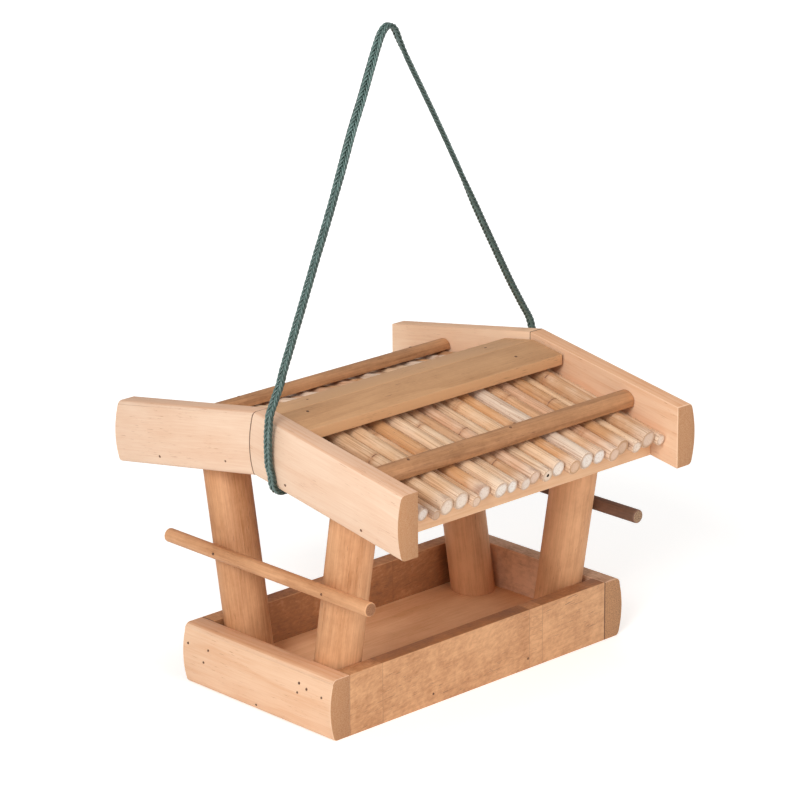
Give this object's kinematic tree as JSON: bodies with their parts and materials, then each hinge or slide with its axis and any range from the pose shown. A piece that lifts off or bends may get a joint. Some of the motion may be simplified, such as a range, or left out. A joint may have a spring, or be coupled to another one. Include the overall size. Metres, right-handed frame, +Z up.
{
  "type": "bird table",
  "caption": "Hanging wooden bird table: an open tray on leaning posts under a low reed roof with half-log gables, side perches and a braided cord loop.",
  "frame": {"origin": "centre of the tray's underside, on the surface it can stand on", "axes": "+Z up, X along the ridge from the left gable to the right one, -Y towards the front slope"},
  "size_m": [0.2387, 0.23, 0.3714],
  "materials": {
    "board_wood": "planed softwood with a thin stain",
    "pale_half_log": "pale planed softwood",
    "turned_wood": "turned softwood with a thin stain",
    "deck_board": "pale planed softwood",
    "dark_wood": "stained hardwood",
    "reed": "dry peeled reed",
    "green_cord": "braided synthetic cord"
  },
  "bodies": {
    "table": {"tray_floor": "board_wood", "tray_side_front": "board_wood", "tray_side_back": "board_wood", "tray_end_left": "pale_half_log", "tray_end_right": "pale_half_log", "post_front_left": "turned_wood", "post_back_left": "turned_wood", "perch_left": "dark_wood", "post_front_right": "turned_wood", "post_back_right": "turned_wood", "perch_right": "dark_wood", "roof_deck_front": "deck_board", "ridge_cap_front": "dark_wood", "batten_front": "dark_wood", "gable_front_left": "pale_half_log", "gable_front_right": "pale_half_log", "roof_deck_back": "deck_board", "ridge_cap_back": "dark_wood", "batten_back": "dark_wood", "gable_back_left": "pale_half_log", "gable_back_right": "pale_half_log", "reed_front_01": "reed", "reed_front_02": "reed", "reed_front_03": "reed", "reed_front_04": "reed", "reed_front_05": "reed", "reed_front_06": "reed", "reed_front_07": "reed", "reed_front_08": "reed", "reed_front_09": "reed", "reed_front_10": "reed", "reed_front_11": "reed", "reed_front_12": "reed", "reed_front_13": "reed", "reed_front_14": "reed", "reed_front_15": "reed", "reed_front_16": "reed", "reed_front_17": "reed", "reed_front_18": "reed", "reed_front_19": "reed", "reed_front_20": "reed", "reed_front_21": "reed", "reed_pair_back_01": "reed", "reed_pair_back_02": "reed", "reed_pair_back_03": "reed", "reed_pair_back_04": "reed", "reed_pair_back_05": "reed", "reed_pair_back_06": "reed", "reed_pair_back_07": "reed", "reed_pair_back_08": "reed", "reed_pair_back_09": "reed", "reed_pair_back_10": "reed", "reed_pair_back_11": "reed", "cord_turn_left": "green_cord", "cord_turn_right": "green_cord", "cord_wrap_left": "green_cord", "cord_wrap_right": "green_cord", "cord_knot": "green_cord"},
    "hanging_loop": {"cord_loop": "green_cord"}
  },
  "joints": [
    {"name": "cord_swing", "type": "hinge", "parent": "table", "child": "hanging_loop", "pos_m": [-0.0011, -0.002, 0.176], "axis": [0.9904, 0.1382, 0], "range_deg": [-90, 90]}
  ]
}
